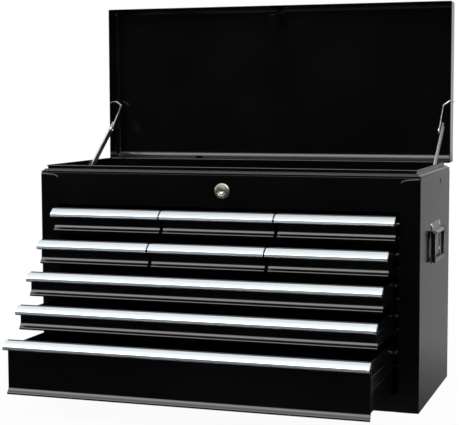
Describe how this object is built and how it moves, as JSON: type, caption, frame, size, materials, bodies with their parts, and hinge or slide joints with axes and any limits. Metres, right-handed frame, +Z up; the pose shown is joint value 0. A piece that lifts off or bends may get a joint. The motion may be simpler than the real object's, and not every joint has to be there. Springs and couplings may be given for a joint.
{
  "type": "tool chest",
  "caption": "Black sheet-steel top chest with a lift-up lid over a till, bright full-length drawer pulls, folding side handles and a keyed front lock.",
  "frame": {"origin": "centre of the case's footprint, on the surface it stands on", "axes": "+X along the front to the viewer's right, -Y out of the front, +Z up"},
  "size_m": [0.6796, 0.5504, 0.6731],
  "materials": {
    "black_paint": "semi-gloss powder coat",
    "bright_aluminium": "bright drawn",
    "zinc_plated_steel": "zinc plated",
    "bright_steel": "bright",
    "chrome": "polished",
    "black_grip": "gloss"
  },
  "bodies": {
    "case": {"side_panel_left": "black_paint", "side_panel_right": "black_paint", "back_panel": "black_paint", "base_pan": "black_paint", "front_fascia": "black_paint", "front_base_rail": "black_paint", "front_post_left": "black_paint", "front_post_right": "black_paint", "rear_posts": "black_paint", "cross_rails": "black_paint", "middle_shelf": "black_paint", "divider_left": "black_paint", "divider_right": "black_paint", "full_width_slides": "zinc_plated_steel", "small_drawer_slides": "zinc_plated_steel", "till_frame": "black_paint", "till_floor": "black_paint", "lock_housing": "chrome", "lock_nut": "zinc_plated_steel", "lock_bar_guides": "zinc_plated_steel", "hinge_case_leaf": "zinc_plated_steel", "hinge_pin": "bright_steel", "stay_pivots": "bright_steel", "handle_plate_left": "zinc_plated_steel", "handle_plate_right": "zinc_plated_steel", "handle_rivets": "zinc_plated_steel"},
    "lid": {"lid_shell": "black_paint", "lid_strike": "black_paint", "lid_pusher": "black_paint", "hinge_lid_leaf": "zinc_plated_steel"},
    "lock": {"lock_plug": "chrome", "lock_cam": "zinc_plated_steel", "lock_cam_nut": "zinc_plated_steel"},
    "lock_bar": {"lock_bar": "zinc_plated_steel"},
    "stay_bar_left": {"stay_bar_left": "zinc_plated_steel"},
    "stay_bar_right": {"stay_bar_right": "zinc_plated_steel"},
    "stay_wire_left": {"stay_wire_left": "bright_steel"},
    "stay_wire_right": {"stay_wire_right": "bright_steel"},
    "handle_left": {"handle_bail_left": "bright_steel", "handle_grip_left": "black_grip"},
    "handle_right": {"handle_bail_right": "bright_steel", "handle_grip_right": "black_grip"},
    "drawer_1_left": {"drawer_1_left": "black_paint", "pull_1_left": "bright_aluminium"},
    "drawer_1_middle": {"drawer_1_middle": "black_paint", "pull_1_middle": "bright_aluminium"},
    "drawer_1_right": {"drawer_1_right": "black_paint", "pull_1_right": "bright_aluminium"},
    "drawer_2_left": {"drawer_2_left": "black_paint", "pull_2_left": "bright_aluminium"},
    "drawer_2_middle": {"drawer_2_middle": "black_paint", "pull_2_middle": "bright_aluminium"},
    "drawer_2_right": {"drawer_2_right": "black_paint", "pull_2_right": "bright_aluminium"},
    "drawer_3": {"drawer_3": "black_paint", "pull_3": "bright_aluminium"},
    "drawer_4": {"drawer_4": "black_paint", "pull_4": "bright_aluminium"},
    "drawer_5": {"drawer_5": "black_paint", "pull_5": "bright_aluminium"}
  },
  "joints": [
    {"name": "lid_hinge", "type": "hinge", "parent": "case", "child": "lid", "pos_m": [0, 0.1496, 0.3825], "axis": [1, 0, 0], "range_deg": [0, 90]},
    {"name": "stay_pivot_left", "type": "hinge", "parent": "case", "child": "stay_bar_left", "pos_m": [-0.3166, 0.03, 0.37], "axis": [1, 0, 0], "range_deg": [0, 133.5]},
    {"name": "stay_wire_turn_left", "type": "hinge", "parent": "lid", "child": "stay_wire_left", "pos_m": [-0.3294, 0.172, 0.496], "axis": [1, 0, 0], "range_deg": [-114.9, 0]},
    {"name": "stay_pivot_right", "type": "hinge", "parent": "case", "child": "stay_bar_right", "pos_m": [0.3166, 0.03, 0.37], "axis": [1, 0, 0], "range_deg": [0, 133.5]},
    {"name": "stay_wire_turn_right", "type": "hinge", "parent": "lid", "child": "stay_wire_right", "pos_m": [0.3294, 0.172, 0.496], "axis": [1, 0, 0], "range_deg": [-114.9, 0]},
    {"name": "lock_turn", "type": "hinge", "parent": "case", "child": "lock", "pos_m": [0, -0.146, 0.35], "axis": [0, -1, 0], "range_deg": [0, 90]},
    {"name": "lock_bar_drop", "type": "slide", "parent": "case", "child": "lock_bar", "axis": [0, 0, 1], "range_m": [-0.006, 0]},
    {"name": "handle_swing_left", "type": "hinge", "parent": "case", "child": "handle_left", "pos_m": [-0.3353, -0.001, 0.28], "axis": [0, 1, 0], "range_deg": [0, 90]},
    {"name": "handle_swing_right", "type": "hinge", "parent": "case", "child": "handle_right", "pos_m": [0.3353, -0.001, 0.28], "axis": [0, -1, 0], "range_deg": [0, 90]},
    {"name": "drawer_1_left_slide", "type": "slide", "parent": "case", "child": "drawer_1_left", "axis": [0, -1, 0], "range_m": [-0.027, 0.193]},
    {"name": "drawer_1_middle_slide", "type": "slide", "parent": "case", "child": "drawer_1_middle", "axis": [0, -1, 0], "range_m": [-0.027, 0.193]},
    {"name": "drawer_1_right_slide", "type": "slide", "parent": "case", "child": "drawer_1_right", "axis": [0, -1, 0], "range_m": [-0.027, 0.193]},
    {"name": "drawer_2_left_slide", "type": "slide", "parent": "case", "child": "drawer_2_left", "axis": [0, -1, 0], "range_m": [-0.0795, 0.1405]},
    {"name": "drawer_2_middle_slide", "type": "slide", "parent": "case", "child": "drawer_2_middle", "axis": [0, -1, 0], "range_m": [-0.0795, 0.1405]},
    {"name": "drawer_2_right_slide", "type": "slide", "parent": "case", "child": "drawer_2_right", "axis": [0, -1, 0], "range_m": [-0.0795, 0.1405]},
    {"name": "drawer_3_slide", "type": "slide", "parent": "case", "child": "drawer_3", "axis": [0, -1, 0], "range_m": [-0.119, 0.101]},
    {"name": "drawer_4_slide", "type": "slide", "parent": "case", "child": "drawer_4", "axis": [0, -1, 0], "range_m": [-0.158, 0.062]},
    {"name": "drawer_5_slide", "type": "slide", "parent": "case", "child": "drawer_5", "axis": [0, -1, 0], "range_m": [-0.203, 0.017]}
  ],
  "couplings": [
    {"joint": "stay_pivot_left", "follows": "lid_hinge", "ratio": 1.4833},
    {"joint": "stay_wire_turn_left", "follows": "lid_hinge", "ratio": -1.2766},
    {"joint": "stay_pivot_right", "follows": "lid_hinge", "ratio": 1.4833},
    {"joint": "stay_wire_turn_right", "follows": "lid_hinge", "ratio": -1.2766},
    {"joint": "lock_bar_drop", "follows": "lid_hinge", "m_per_rad": -0.0038}
  ]
}
